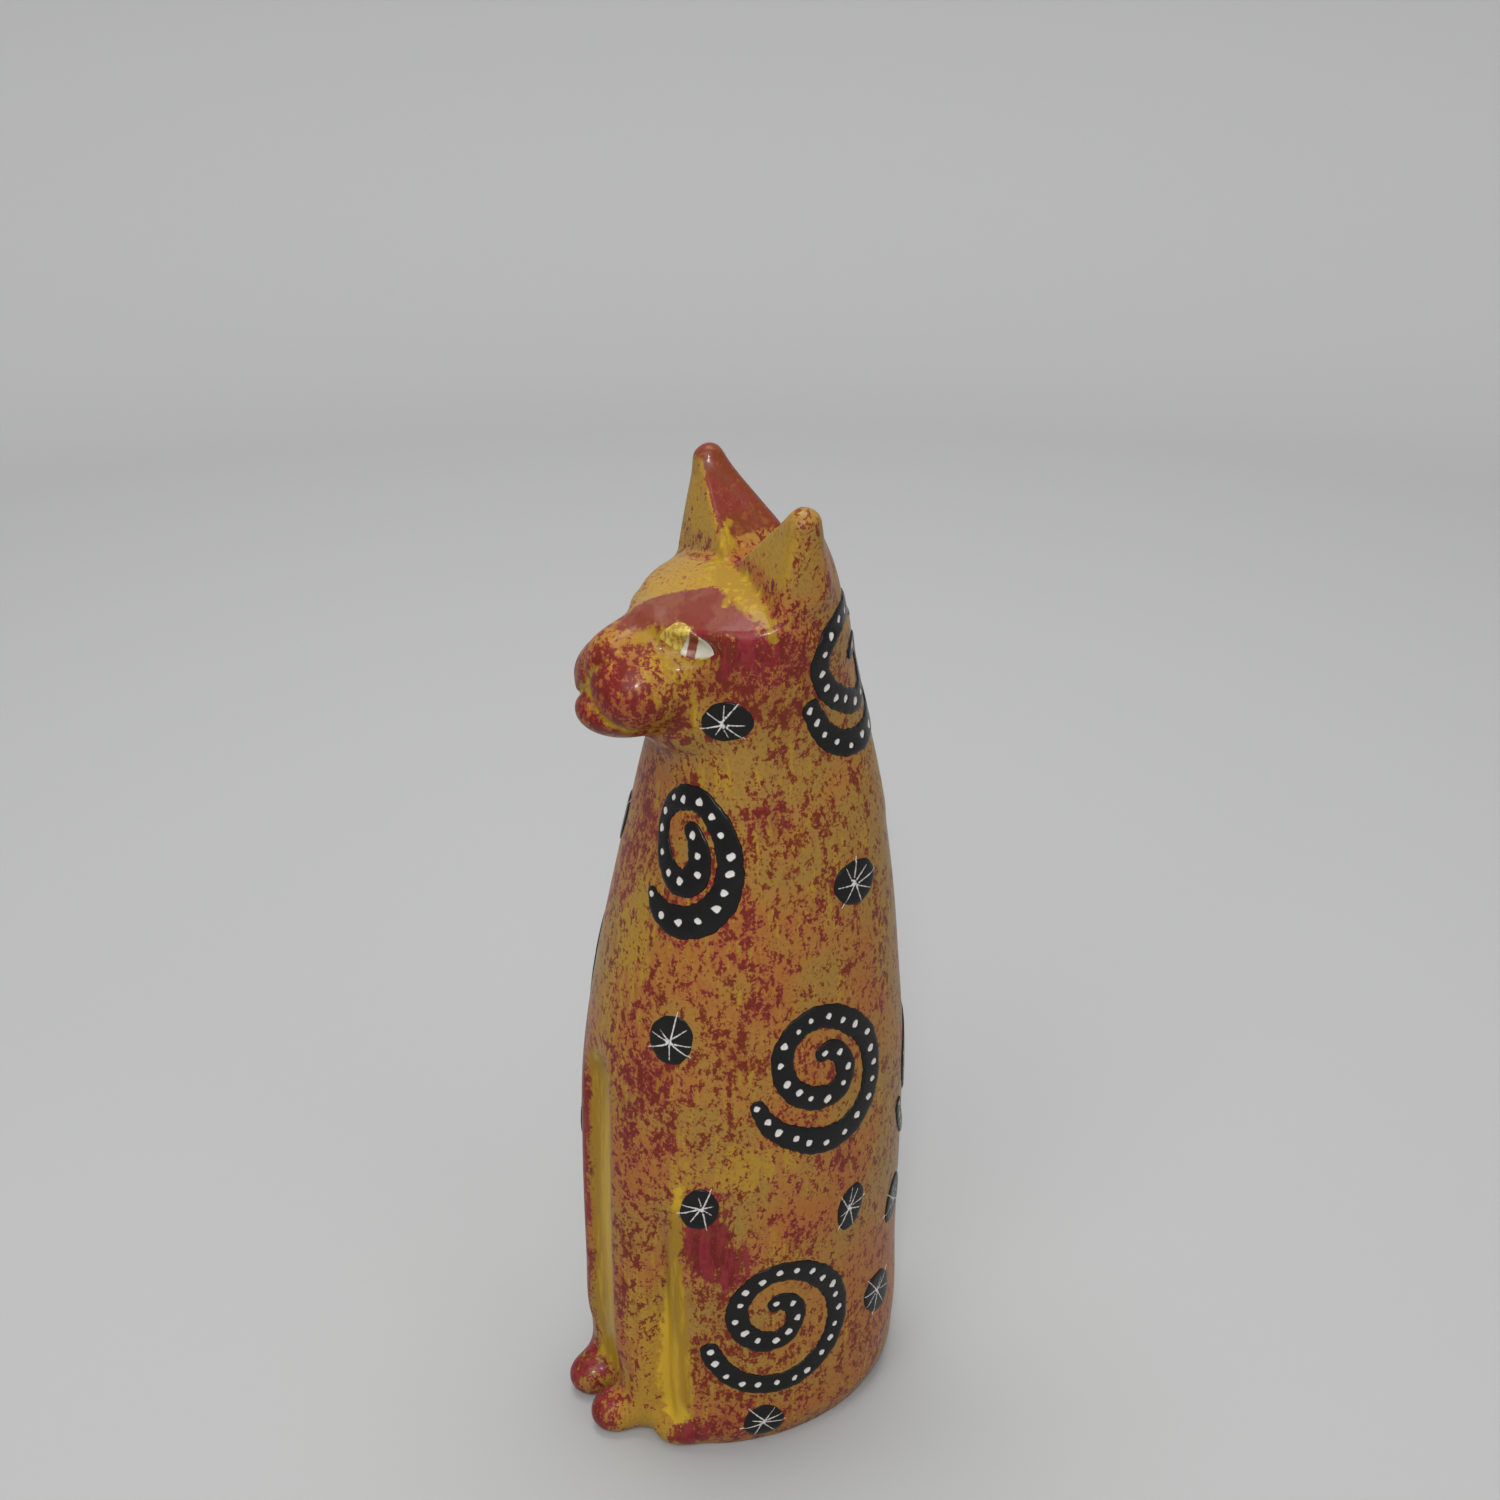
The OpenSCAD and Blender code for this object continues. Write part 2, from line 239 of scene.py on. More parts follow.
def figure(x, y, z):
    """Negative inside the stone, positive outside, about a distance in millimetres."""
    width, front, back, square = outline_at(z)
    block = ring(x, y, width, np.where(y < 0, front, back), square)
    skull, crown = head(x, y, z, width, back, square)
    whole = soft_min(soft_max(block, crown, 1.2), skull, 1.6)
    whole = soft_min(whole, ears(x, y, z, width, back, square), 0.9)
    whole = soft_max(whole, -lump(np.abs(x), y, z, *EYE_SOCKET), 0.8)
    for start, end, depth in MOUTH_LINES:
        near = mouth_distance(np.abs(x), z, start, end)
        whole = whole + depth * np.exp(-(near / 0.6)**2) * below(y, -13.5, 0.6)
    whole = legs_and_paws(x, y, z, whole)
    whole = soft_min(whole, tail(x, y, z), 0.8)
    return soft_max(whole, -z, 0.5)


def gradient(points, step=0.05):
    out = np.empty_like(points)
    for axis in range(3):
        shift = np.zeros(3)
        shift[axis] = step
        out[:, axis] = (figure(*(points + shift).T) - figure(*(points - shift).T)) / (2 * step)
    return out


def settle(points, rounds=3):
    """Moves points straight onto the surface of the figure."""
    for _ in range(rounds):
        g = gradient(points)
        size = np.maximum((g**2).sum(1), 1e-4)
        move = figure(*points.T) / size
        points = points - np.clip(move, -1, 1)[:, None] * g
    return points


def normals_at(points):
    g = gradient(points)
    return g / np.linalg.norm(g, axis=1)[:, None]


# The four cells round a grid edge, in turn: how many steps back along the other two axes
ROUND_EDGE = ((1, 1), (0, 1), (0, 0), (1, 0))


def cell_beside(index, others, back):
    cell = list(index)
    for axis, steps in zip(others, back):
        cell[axis] = index[axis] - steps
    return tuple(cell)


def surface_net(xs, ys, zs, values):
    """Quad mesh of the zero level of a field given on a rectangular grid."""
    axes = (xs, ys, zs)
    shape = tuple(n - 1 for n in values.shape)
    total = np.zeros(shape + (3,), np.float32)
    count = np.zeros(shape, np.float32)
    edges = []
    for axis in range(3):
        low = np.take(values, range(values.shape[axis] - 1), axis)
        high = np.take(values, range(1, values.shape[axis]), axis)
        cross = (low < 0) != (high < 0)
        index = np.nonzero(cross)
        t = low[index] / (low[index] - high[index])
        point = np.stack([axes[k][index[k]] for k in range(3)], 1)
        span = axes[axis][index[axis] + 1] - axes[axis][index[axis]]
        point[:, axis] += t * span
        others = [k for k in range(3) if k != axis]
        for back in ROUND_EDGE:
            cell = cell_beside(index, others, back)
            np.add.at(total, cell, point)
            np.add.at(count, cell, 1)
        edges.append((index, low[index] < 0, others))
    cells = np.nonzero(count > 0)
    number = np.full(shape, -1, np.int64)
    number[cells] = np.arange(len(cells[0]))
    points = total[cells] / count[cells][:, None]
    faces = []
    for axis, (index, outward, others) in enumerate(edges):
        quad = np.stack([number[cell_beside(index, others, back)] for back in ROUND_EDGE], 1)
        if axis == 1:
            outward = ~outward
        quad[~outward] = quad[~outward][:, ::-1]
        faces.append(quad)
    return points.astype(float), np.concatenate(faces)


def relax(points, quads, rounds=2):
    """Evens out the mesh and puts it back onto the surface each time."""
    a = np.concatenate([quads[:, k] for k in range(4)])
    b = np.concatenate([quads[:, (k + 1) % 4] for k in range(4)])
    start, end = np.concatenate([a, b]), np.concatenate([b, a])
    degree = np.bincount(start, minlength=len(points))
    for _ in range(rounds):
        mean = np.stack([
            np.bincount(start, points[end, k], len(points)) / degree for k in range(3)
        ], 1)
        points = settle(points + 0.6 * (mean - points), 1)
    return points


def make_object(name, points, faces, material_name):
    """A smooth object in the scene from points in millimetres."""
    mesh = bpy.data.meshes.new(name)
    mesh.from_pydata((points * MM).tolist(), [], [list(map(int, f)) for f in faces])
    for face in mesh.polygons:
        face.use_smooth = True
    obj = bpy.data.objects.new(name, mesh)
    bpy.context.scene.collection.objects.link(obj)
    obj.data.materials.append(bpy.data.materials[material_name])
    return obj


def carve_stone():
    fine = 0.5
    xs = np.arange(-23, 23.01, fine)
    ys = np.arange(-30, 30.01, fine)
    zs = np.concatenate([
        np.arange(-1.1, 110, 1.5 * fine), np.arange(110.2, 138.5, 0.8 * fine),
        np.arange(138.7, 152, 1.1 * fine),
    ])
    values = figure(*np.meshgrid(xs, ys, zs, indexing="ij"))
    points, quads = surface_net(xs, ys, zs, values)
    points = relax(settle(points), quads)
    return settle(points, 2), quads


# ---- enamel and eyes

# How far the enamel stands out, and how far its rim and its underside are sunk in the stone
ENAMEL, RIM_SUNK, SUNK = 0.30, 0.02, 0.22
# The white marks: how far apart the nicks are, and how deep nicks and scratches go
NICK_GAP, NICK_DEPTH, SCRATCH_DEPTH = 2.75, 0.13, 0.07
# A ray that reaches this share of the disc gets an end of its own on the stone
RAY_OVER_RIM = 1.05
# Rounds and start radius of the search along a ray for the stone's surface
SEARCH_ROUNDS = 26
OUTSIDE_RADIUS = 31.0
# Centre-lines of the spirals from the inner end: right, up, and width of the band (mm)
COILS = {
    "tall": [
        (-0.4, 4.3, 2.6), (1.2, 3.4, 3.2), (2.1, 1.4, 3.4), (2.1, -1.2, 3.7),
        (0.8, -3.3, 3.9), (-1.4, -3.4, 3.9), (-3.7, -1.6, 3.5), (-5.3, 1.2, 3.2),
        (-5.6, 4.0, 3.2), (-4.0, 6.4, 3.4), (-1.0, 7.9, 3.5), (2.2, 8.0, 3.6),
        (4.7, 5.8, 3.6), (6.1, 2.4, 3.5), (6.3, -1.6, 3.6), (5.2, -5.2, 4.1),
        (2.7, -8.0, 4.6), (-0.4, -9.0, 4.6), (-3.4, -8.3, 3.6), (-5.9, -6.2, 1.5),
    ],
    "wide": [
        (-0.8, 0.9, 2.5), (1.2, 2.0, 3.0), (3.3, 0.4, 3.2), (4.0, -2.7, 3.4),
        (2.2, -5.2, 3.8), (-1.6, -5.0, 3.9), (-4.9, -2.7, 3.7), (-6.3, 0.7, 3.6),
        (-5.8, 4.4, 3.6), (-2.9, 7.1, 3.7), (1.2, 7.4, 3.8), (5.1, 5.1, 3.8),
        (8.0, 1.3, 3.6), (8.8, -3.8, 3.4), (7.6, -8.8, 3.7), (4.3, -12.0, 4.3),
        (-0.2, -12.5, 4.5), (-4.8, -10.6, 3.9), (-8.4, -7.8, 3.2), (-10.7, -3.4, 2.0),
    ],
    "full": [
        (-1.2, 1.6, 2.6), (0.8, 3.0, 3.0), (3.2, 2.2, 3.2), (4.6, -0.8, 3.2),
        (4.0, -4.0, 3.4), (1.2, -5.4, 3.6), (-3.0, -3.7, 3.6), (-6.6, -0.8, 3.6),
        (-8.4, 3.0, 3.5), (-6.8, 6.6, 3.5), (-3.2, 8.4, 3.5), (1.6, 8.6, 3.6),
        (5.8, 6.6, 3.6), (8.6, 2.6, 3.5), (9.4, -2.6, 3.5), (7.6, -7.6, 3.7),
        (3.6, -10.4, 3.9), (-1.6, -10.6, 3.9), (-6.0, -8.1, 3.7), (-10.0, -2.2, 3.0),
    ],
    "round": [
        (-0.8, 1.1, 2.6), (1.2, 2.3, 3.1), (3.2, 0.8, 3.4), (3.4, -2.2, 3.3),
        (1.4, -4.6, 3.5), (-1.9, -4.6, 3.8), (-4.8, -2.1, 3.6), (-5.6, 1.8, 3.4),
        (-4.0, 5.4, 3.3), (-0.6, 7.7, 3.4), (3.6, 7.5, 3.6), (7.5, 4.8, 3.8),
        (10.3, 0.6, 3.8), (10.9, -4.6, 3.7), (8.8, -9.5, 3.7), (4.4, -12.6, 3.8),
        (-0.8, -13.1, 3.6), (-5.6, -11.1, 3.4), (-8.7, -7.4, 3.2), (-9.9, -4.0, 3.0),
    ],
}
# Spirals: coil, turn from the front (degrees), height, scale across, scale up, seed
SPIRALS = {
    "spiral_left_chest": ("tall", 39.5, 100, 1.0, 1.0, 1),
    "spiral_left_flank": ("wide", 104, 67.6, 1.0, 1.0, 2),
    "spiral_left_haunch": ("round", 82, 25.6, 1.0, 1.0, 3),
    "spiral_left_nape": ("full", 139, 124.4, 1.0, 1.0, 4),
    "spiral_back": ("round", 168, 56, 0.85, 0.95, 5),
    "spiral_right_flank": ("wide", -56, 76, 0.85, 0.98, 6),
    "spiral_right_nape": ("round", -127, 113, 0.85, 0.85, 7),
    "spiral_right_haunch": ("wide", -92, 33, 0.95, 0.95, 8),
}
# Star discs: turn from the front, height, half width, half height, lean, seed
STARS = {
    "star_left_cheek": (62, 120.3, 3.4, 3.0, -8, 11),
    "star_left_shoulder": (126, 93.8, 3.6, 3.5, 0, 12),
    "star_left_chest": (39.5, 73.8, 3.4, 3.6, 0, 13),
    "star_left_knee": (51.5, 46.5, 2.9, 3.4, 10, 14),
    "star_left_hip": (118, 40.7, 2.7, 3.8, 14, 15),
    "star_left_foot": (78, 4.9, 3.3, 3.3, 0, 16),
    "star_back_mid": (150, 34, 3.2, 3.8, 20, 17),
    "star_back_low": (138, 19.5, 3.6, 3.6, 20, 18),
    "star_back_high": (178, 88, 3.5, 3.5, 0, 19),
    "star_right_cheek": (-67, 121, 3.4, 3.1, 8, 20),
    "star_right_chest": (-46, 97, 3.1, 3.7, 0, 21),
    "star_right_knee": (-28, 48.5, 3.3, 3.5, 0, 22),
    "star_right_shoulder": (-98, 92, 3.5, 3.5, 0, 23),
    "star_right_hip": (-130, 62, 3.5, 3.5, 0, 24),
    "star_right_foot": (-140, 20, 3.5, 3.5, 0, 25),
}


def skin(a, z):
    """Points on the stone at the turn a from the front (degrees) and the height z."""
    turn = np.radians(a)
    r = np.full_like(turn, OUTSIDE_RADIUS)
    for _ in range(SEARCH_ROUNDS):
        f = figure(r * np.sin(turn), -r * np.cos(turn), z)
        r = r - np.clip(0.7 * f, -0.6, 1.6)
    return settle(np.stack([r * np.sin(turn), -r * np.cos(turn), z], 1), 2)


def face_skin(s, z, side):
    """Points on the stone of one side of the face, at s along the face and height z."""
    across, along = math.cos(FACE_SLOPE), math.sin(FACE_SLOPE)
    d = np.full_like(s, 20.0)
    for _ in range(SEARCH_ROUNDS):
        x, y = s * along + d * across, s * across - d * along
        d = d - np.clip(0.7 * figure(side * x, y, z), -0.6, 1.2)
    x, y = side * (s * along + d * across), s * across - d * along
    return settle(np.stack([x, y, z], 1), 1)


def laid(a0, z0, uv, height):
    """Points right of and above (uv) a place on the stone, lifted off it by a height."""
    centre = skin(np.array([float(a0)]), np.array([float(z0)]))[0]
    radius = math.hypot(centre[0], centre[1])
    points = skin(a0 + np.degrees(uv[:, 0] / radius), z0 + uv[:, 1])
    return points + normals_at(points) * height[:, None]


def smooth_line(points, spacing):
    """A smooth line through the points, with a vertex about every spacing."""
    p = np.array(points, float)
    p = np.vstack([2 * p[0] - p[1], p, 2 * p[-1] - p[-2]])
    out = []
    for i in range(1, len(p) - 2):
        t = np.linspace(0, 1, 24, endpoint=False)[:, None]
        out.append(0.5 * (
            2 * p[i] + (p[i + 1] - p[i - 1]) * t
            + (2 * p[i - 1] - 5 * p[i] + 4 * p[i + 1] - p[i + 2]) * t**2
            + (3 * p[i] - p[i - 1] - 3 * p[i + 1] + p[i + 2]) * t**3
        ))
    line = np.vstack(out + [p[-2:-1]])
    length = np.concatenate([[0], np.cumsum(np.linalg.norm(np.diff(line[:, :2], axis=0), axis=1))])
    at = np.linspace(0, length[-1], int(length[-1] / spacing))
    return np.stack([np.interp(at, length, line[:, k]) for k in range(3)], 1), at


def tube_faces(stations, around):
    """Faces of a tube whose rings of points follow each other; the ends stay open."""
    faces = []
    for i in range(stations - 1):
        here, there = i * around, (i + 1) * around
        for j in range(around):
            k = (j + 1) % around
            faces.append((here + j, here + k, there + k, there + j))
    return faces


def round_end(away, half):
    """Narrows a band to a round end; away is how far each station is from that end."""
    share = np.clip(away / (0.9 * half), 0, 1)
    return np.sqrt(np.clip(1 - (1 - share)**2, 0.0004, 1))


def spiral(name):
    """A raised band of enamel with white nicks: points, faces, and how white each is."""
    coil, a0, z0, wide, tall, seed = SPIRALS[name]
    rng = np.random.default_rng(seed)
    spacing = 0.22
    line, at = smooth_line(COILS[coil], spacing)
    line[:, 0] *= wide
    line[:, 1] *= tall
    half = line[:, 2] / 2 * min(wide, tall)
    length = at[-1]
    wobble = 0.06 * np.sin(at * 1.7 + seed) + 0.05 * np.sin(at * 3.9 + 2 * seed)
    half = (half + wobble) * round_end(at, half) * round_end(length - at, half)
    along = np.gradient(line[:, :2], axis=0)
    along /= np.linalg.norm(along, axis=1)[:, None]
    across = np.stack([-along[:, 1], along[:, 0]], 1)
    top = np.linspace(1, -1, 21)
    top = np.sign(top) * np.abs(top) ** 0.85
    columns = np.concatenate([top, [-0.6, 0.0, 0.6]])
    uv = line[:, None, :2] + across[:, None] * (half[:, None] * columns)[..., None]
    # white nicks cut in a row along the band, each a leaning rounded lozenge
    count = int(length / NICK_GAP)
    spots = np.linspace(1.6, length - 1.3, count) + rng.uniform(-0.3, 0.3, count)
    white = np.full(uv.shape[:2], -1.0)
    for spot in spots:
        i = min(int(np.searchsorted(at, spot)), len(at) - 1)
        centre = line[i, :2] + across[i] * half[i] * rng.uniform(-0.15, 0.25)
        size = min(rng.uniform(0.36, 0.50), 0.36 * half[i] + 0.04)
        lean = rng.uniform(0.3, 1.3)
        offset = uv - centre
        p = offset[..., 0] * math.cos(lean) + offset[..., 1] * math.sin(lean)
        q = -offset[..., 0] * math.sin(lean) + offset[..., 1] * math.cos(lean)
        stretch = rng.uniform(1.0, 1.35)
        q = q * (1 + 0.28 * np.clip(p / size, -1.5, 1.5) * rng.uniform(-1, 1))
        power = rng.uniform(2.0, 3.4)
        shape = (np.abs(p / stretch)**power + np.abs(q)**power + 1e-9) ** (1 / power)
        white = np.maximum(white, size - shape)
    height = np.empty_like(white)
    n = len(top)
    height[:, :n] = ENAMEL * np.clip(1 - np.abs(top)**5, 0, 1)**0.5 - RIM_SUNK
    height[:, :n] -= NICK_DEPTH * below(-white[:, :n], 0, 0.05)
    height[:, n:] = -SUNK
    points = laid(a0, z0, uv.reshape(-1, 2), height.ravel())
    around = len(columns)
    faces = tube_faces(len(line), around)
    faces.append(tuple(range(around))[::-1])
    faces.append(tuple(range((len(line) - 1) * around, len(line) * around)))
    return points, faces, white.ravel()


def ray_whiteness(uv, rays):
    """How far inside the nearest scratched ray each point of a disc is, in mm."""
    best = np.full(len(uv), -1.0)
    for start, end, half, _ in rays:
        d = end - start
        t = np.clip((uv - start) @ d / (d @ d), 0, 1)
        away = np.linalg.norm(uv - start - t[:, None] * d, axis=1)
        best = np.maximum(best, half * (1.15 - 0.6 * t) - away)
    return best


def ray_end(start, end, half, reach, steps=5):
    """The end of a ray that runs on over the stone, as a thin closed strip: uv and lift."""
    d = (end - start) / np.linalg.norm(end - start)
    side = np.array([-d[1], d[0]])
    inner = end * (0.97 / reach)
    strip = []
    for t in np.arange(steps) / (steps - 1):
        middle = inner + (end - inner) * t
        w = half * (0.75 - 0.45 * t)
        strip += [middle + side * w, middle - side * w, middle - side * w, middle + side * w]
    faces = tube_faces(steps, 4)
    faces.append((3, 2, 1, 0))
    faces.append(tuple(4 * (steps - 1) + i for i in range(4)))
    return np.array(strip), np.tile([0.05, 0.05, -0.1, -0.1], steps), faces


def star(name):
    """A disc of enamel with eight scratched rays, some of which run on over the stone."""
    a0, z0, half_width, half_height, lean, seed = STARS[name]
    rng = np.random.default_rng(seed)
    around = 216
    phi = np.linspace(0, 2 * math.pi, around, endpoint=False)
    shifts = rng.uniform(0, 6.28, 3)
    edge = 1 + 0.05 * np.sin(2 * phi + shifts[0]) + 0.03 * np.sin(3 * phi + shifts[1])
    edge += 0.012 * np.sin(8 * phi + shifts[2])
    turn = math.radians(lean)
    ex, ey = half_width * edge * np.cos(phi), half_height * edge * np.sin(phi)
    rim = np.stack([ex * math.cos(turn) + ey * math.sin(turn),
                    -ex * math.sin(turn) + ey * math.cos(turn)], 1)
    # scratched rays: where each starts and ends, its half width, and its reach past the rim
    rays = []
    hub = rng.uniform(-0.5, 0.5, 2)
    for k in range(8):
        angle = math.radians(45 * k + rng.uniform(-14, 14)) + shifts[0]
        reach = rng.uniform(0.62, 1.08) if k % 3 else rng.uniform(1.06, 1.22)
        start = hub + rng.uniform(-0.25, 0.25, 2)
        half = rng.uniform(0.075, 0.11)
        j = int(angle / (2 * math.pi) * around) % around
        rays.append((start, rim[j] * reach, half, reach))
    # the disc: rings from the middle out, then one ring and a point underneath
    rings = np.array([0.06, 0.16, 0.28, 0.4, 0.52, 0.64, 0.75, 0.84, 0.9, 0.95, 0.985, 1.0])
    heights = ENAMEL * np.clip(1 - rings**9, 0, 1)**0.5 - RIM_SUNK
    middle = np.zeros((1, 2))
    uv = np.vstack([middle] + [rim * r for r in rings] + [rim * 0.5, middle])
    hidden = around + 1
    height = np.concatenate([[ENAMEL - RIM_SUNK], np.repeat(heights, around),
                             np.full(hidden, -SUNK)])
    white = ray_whiteness(uv, rays)
    height[:-hidden] -= SCRATCH_DEPTH * below(-white[:-hidden], 0, 0.03)
    white[-hidden:] = -1
    faces = []
    levels = len(rings) + 1
    last = 1 + (levels - 1) * around
    for j in range(around):
        k = (j + 1) % around
        faces.append((0, 1 + j, 1 + k))
        for a in range(1, last, around):
            b = a + around
            faces.append((a + j, b + j, b + k, a + k))
        faces.append((last + j, len(uv) - 1, last + k))
    points = laid(a0, z0, uv, height)
    for ray in rays:
        if ray[3] > RAY_OVER_RIM:
            strip, lift, strip_faces = ray_end(*ray)
            faces += [tuple(len(points) + i for i in face) for face in strip_faces]
            points = np.vstack([points, laid(a0, z0, strip, lift)])
            white = np.concatenate([white, np.ones(len(strip))])
    return points, faces, white


# The eye's two corners: along the face, and height
EYE_INNER = (-7.7, 131.0)
EYE_OUTER = (-0.3, 129.6)
RIGHT_EYE_DOWN = 0.9


def eye(side):
    """The painted eye: a leaf with a yellow inner corner, white, and a leaning red bar."""
    columns, rows = 64, 26
    down = np.array((0.0, 0.0 if side > 0 else RIGHT_EYE_DOWN))
    inner, outer = np.array(EYE_INNER) - down, np.array(EYE_OUTER) - down
    t = np.linspace(0, 1, columns)
    t = (1 - np.cos(math.pi * t)) / 2
    # the two lids, above and below the line from corner to corner
    upper = 2.75 * np.sin(math.pi * np.clip(t, 0, 1) ** 0.95) ** 0.72
    lower = -1.75 * np.sin(math.pi * t ** 1.15) ** 0.8
    w = np.linspace(0, 1, rows)
    s = (inner[0] + (outer[0] - inner[0]) * t)[:, None] + np.zeros(rows)
    z = (inner[1] + (outer[1] - inner[1]) * t)[:, None]
    z = z + lower[:, None] + (upper - lower)[:, None] * w
    middle = np.minimum(w, 1 - w) * 2
    ends = np.minimum(t, 1 - t) * 2
    rim = np.minimum(np.clip(middle * 3.5, 0, 1)[None, :], np.clip(ends * 5, 0, 1)[:, None])
    height = 0.2 * np.sqrt(np.clip(1 - (1 - rim)**2, 0, 1)) - 0.03
    base = face_skin(s.ravel(), z.ravel(), side)
    normal = normals_at(base)
    points = np.vstack([base + normal * height.ravel()[:, None], base - normal * 0.2])
    # a sheet on top, the same sheet turned over underneath, and a wall round the edge
    n = columns * rows
    grid = np.arange(n).reshape(columns, rows)
    sheet = np.stack([grid[:-1, :-1], grid[1:, :-1], grid[1:, 1:], grid[:-1, 1:]], -1)
    sheet = sheet.reshape(-1, 4)
    here = np.concatenate([grid[:, 0], grid[-1, 1:], grid[-2::-1, -1], grid[0, -2:0:-1]])
    there = np.roll(here, -1)
    wall = np.stack([there, here, here + n, there + n], 1)
    faces = np.vstack([sheet, sheet[:, ::-1] + n, wall])
    if side < 0:
        faces = faces[:, ::-1]
    # the painted parts, each as a distance inside its edge; the bar leans back as it drops
    s, z = np.tile(s.ravel(), 2), np.tile(z.ravel(), 2)
    drop = (132.8 - z) / 4.6
    bar = 0.62 - np.abs(s - (-2.75 - 0.9 * drop)) * 0.98
    white_left = np.minimum(s - (-3.4 - 1.9 * drop), -bar)
    white_right = np.minimum(s - (-2.75 - 0.9 * drop), z - 128.6 - 0.10 * (s + 3)**2)
    white = np.maximum(np.minimum(white_left, -2.9 - 0.9 * drop - s), np.minimum(white_right, -bar))
    return points, faces, bar, white


# ---- paint layers

# Each patch: turn from the front (degrees), height, half width and half height in mm
CRIMSON_PATCHES = [
    (54, 41, 3.7, 8.5), (62, 37, 2.6, 5), (-16, 56, 2.2, 14), (-15, 33, 1, 10),
    (-46, 42, 2.6, 11), (-43, 22, 1.8, 9), (65, 130.9, 6, 3), (-65, 130.9, 6, 3),
    (11, 3.4, 1.8, 2.4), (-13, 4.2, 2.6, 3.4), (46, 3, 2.2, 2.4), (-46, 3, 2.2, 2.4),
]
# Where the red sponging is denser (or thinner): the last number is how much
SPONGE_PATCHES = [
    (66, 126, 11, 7, 1.8), (-62, 126, 9, 6, 1.3), (6, 122, 9, 7, 2.4), (29, 66, 4, 7, 1.5),
    (19, 38, 1.8, 12, 1), (-24, 94, 9, 10, 0.6), (-4, 98, 7, 7, 0.9), (82, 107, 4, 2.2, 1.8),
    (60, 76, 8, 8, 0.35), (118, 92, 4, 4, 0.7), (120, 15, 4, 5, 0.8), (12, 87, 3.4, 7, -0.9),
    (-20, 34, 2.5, 30, 0.8), (-46, 34, 4, 16, 0.8), (58, 43, 5, 9, 0.8), (8, 4, 5, 4, 0.8),
    (-12, 4, 7, 4, 0.8), (50, 3.5, 5, 3, 1.1),
    (-48, 3.5, 5, 3, 0.9), (72, 6, 7, 4, 1), (88, 98, 10, 10, 0.2), (108, 50, 6, 3, 0.5),
    (93, 133, 5, 8, 1.2), (60, 14, 4, 8, 0.5), (-100, 60, 12, 25, 0.2), (-160, 80, 12, 20, 0.1),
    (96, 122, 5, 6, 0.7), (66, 53, 6, 4, -0.8), (78, 113, 9, 3, -0.7), (44, 112, 5, 3, -0.5),
    (107, 83, 3, 5, -0.4), (126, 26, 13, 20, -0.4), (148, 60, 4, 50, -0.4),
    (12, 107, 5, 2.4, -0.6), (30, 104.5, 2.4, 3, -0.5), (100, 32, 6, 8, -0.4),
    (-126, 30, 12, 14, -0.35), (-80, 113, 8, 3.2, -0.35), (118, 138, 4, 9, -0.1),
    (30, 6, 3.4, 11, -1.4), (35, 22, 1.8, 14, -0.8), (58, 122, 3, 2.6, -0.5),
    (90, 45, 8, 6, -0.6), (57, 28, 5, 13, 0.7),
]
# Where the specks turn from brown-red to crimson
ROSY_PATCHES = [
    (82, 107, 7, 4, 1), (28, 66, 6, 9, 1), (17, 36, 3, 24, 1), (56, 42, 7, 12, 1),
    (118, 92, 6, 6, 0.8), (8, 4, 8, 4, 1), (-20, 40, 6, 40, 1), (-6, 95, 10, 10, 0.7),
    (66, 127, 11, 7, 0.9), (93, 134, 5, 6, 1), (6, 122, 10, 7, 0.7), (96, 51, 8, 4, 0.6),
    (60, 76, 8, 8, 0.4), (45, 4, 5, 4, 0.7),
]
# Where the ground is more orange (or more olive)
WARM_PATCHES = [
    (126, 24, 14, 20, 0.7), (96, 22, 8, 8, 0.4), (24, 105, 4, 4, 1.2), (4, 106, 6, 3, 0.9),
    (118, 14, 6, 6, 0.7), (66, 128, 10, 8, 0.5), (0, 122, 10, 10, 0.6), (90, 70, 20, 12, 0.3),
    (45, 78, 9, 8, 0.3), (-120, 24, 14, 20, 0.7), (150, 120, 8, 8, 0.2),
    (78, 113, 10, 4, -0.7), (66, 54, 8, 5, -0.4), (148, 60, 3.5, 60, -0.8),
    (108, 84, 5, 7, -0.2), (100, 112, 10, 5, -0.4), (118, 140, 6, 9, -0.3),
]
# Where the ground turns a soft streaky yellow
WASH_PATCHES = [
    (68, 53, 5.5, 3.2, 1.3), (12, 87, 4, 7.5, 1.3), (33, 12, 3.2, 17, 1.4), (27, 4, 3.2, 8, 1),
    (12, 107, 5, 2, 0.7), (78, 113.4, 8, 2.6, 0.4), (43, 50, 1.6, 6, 1), (0, 35, 3, 40, 0.8),
    (40, 5.5, 2.6, 3, 1.2), (-33, 14, 3, 16, 1.4), (46, 112, 5, 2.4, 0.5),
]
# Yellow strokes on the face: start, end (along the face, height), half width at each
FACE_STROKES = [
    ((-12.5, 129.8), (-9.6, 130.9), 0.25, 0.8), ((-9.6, 130.9), (-5.6, 131.9), 0.85, 0.75),
    ((-5.6, 132.2), (-3.4, 132.5), 0.5, 0.3), ((-8.4, 130.4), (-5.6, 125.8), 0.5, 0.3),
    ((-6, 128.6), (-4.6, 124.8), 0.35, 0.25), ((-3.1, 124.6), (-3, 119.4), 0.5, 0.3),
    ((-4, 128), (-0.8, 128.7), 0.3, 0.25),
]
